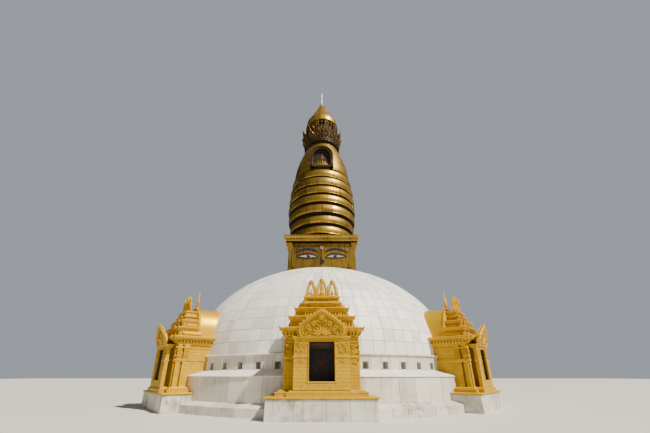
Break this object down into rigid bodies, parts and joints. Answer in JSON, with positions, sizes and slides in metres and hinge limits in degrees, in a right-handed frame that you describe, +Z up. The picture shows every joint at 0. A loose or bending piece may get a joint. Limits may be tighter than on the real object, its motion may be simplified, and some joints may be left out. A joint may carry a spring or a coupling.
{
  "type": "buddhist stupa",
  "caption": "White domed stupa on a stepped round drum, with a gilded cube, a ringed gilded spire under a parasol, and small gold shrines round the drum.",
  "frame": {"origin": "on the ground at the centre of the drum", "axes": "+Z up the spire, -Y towards the front shrine"},
  "size_m": [23.7812, 23.4555, 31.75],
  "materials": {
    "drum_stone": "matte",
    "coping_stone": "matte",
    "dome_marble": "matte",
    "plinth_marble": "matte",
    "shrine_paint": "satin",
    "harmika_gilding": "satin",
    "spire_gilding": "satin",
    "niche_metal": "matte",
    "crown_metal": "matte",
    "mast_metal": "satin"
  },
  "bodies": {
    "root": {"base_step": "drum_stone", "lower_drum": "drum_stone", "drum_coping": "coping_stone", "upper_drum_core": "drum_stone", "drum_cap": "coping_stone", "dome": "dome_marble", "harmika_body": "harmika_gilding", "harmika_cornice": "harmika_gilding", "harmika_roof": "harmika_gilding", "spire_ring_1": "spire_gilding", "spire_ring_2": "spire_gilding", "spire_ring_3": "spire_gilding", "spire_ring_4": "spire_gilding", "spire_ring_5": "spire_gilding", "spire_ring_6": "spire_gilding", "spire_ring_7": "spire_gilding", "spire_collar": "spire_gilding", "collar_niche": "niche_metal", "crown_drum": "crown_metal", "crown_leaves": "crown_metal", "parasol": "spire_gilding", "pinnacle": "mast_metal", "lamp_band_1": "drum_stone", "shrine_1_plinth": "plinth_marble", "shrine_1_house": "shrine_paint", "shrine_1_portal": "shrine_paint", "shrine_1_roof": "shrine_paint", "lamp_band_2": "drum_stone", "shrine_2_plinth": "plinth_marble", "shrine_2_house": "shrine_paint", "shrine_2_portal": "shrine_paint", "shrine_2_roof": "shrine_paint", "lamp_band_3": "drum_stone", "shrine_3_plinth": "plinth_marble", "shrine_3_house": "shrine_paint", "shrine_3_portal": "shrine_paint", "shrine_3_roof": "shrine_paint", "lamp_band_4": "drum_stone", "shrine_4_plinth": "plinth_marble", "shrine_4_house": "shrine_paint", "shrine_4_portal": "shrine_paint", "shrine_4_roof": "shrine_paint", "lamp_band_5": "drum_stone", "shrine_5_plinth": "plinth_marble", "shrine_5_house": "shrine_paint", "shrine_5_portal": "shrine_paint", "shrine_5_roof": "shrine_paint", "lamp_band_6": "drum_stone", "shrine_6_plinth": "plinth_marble", "shrine_6_house": "shrine_paint", "shrine_6_portal": "shrine_paint", "shrine_6_roof": "shrine_paint", "lamp_band_7": "drum_stone", "shrine_7_plinth": "plinth_marble", "shrine_7_house": "shrine_paint", "shrine_7_portal": "shrine_paint", "shrine_7_roof": "shrine_paint"}
  },
  "joints": []
}
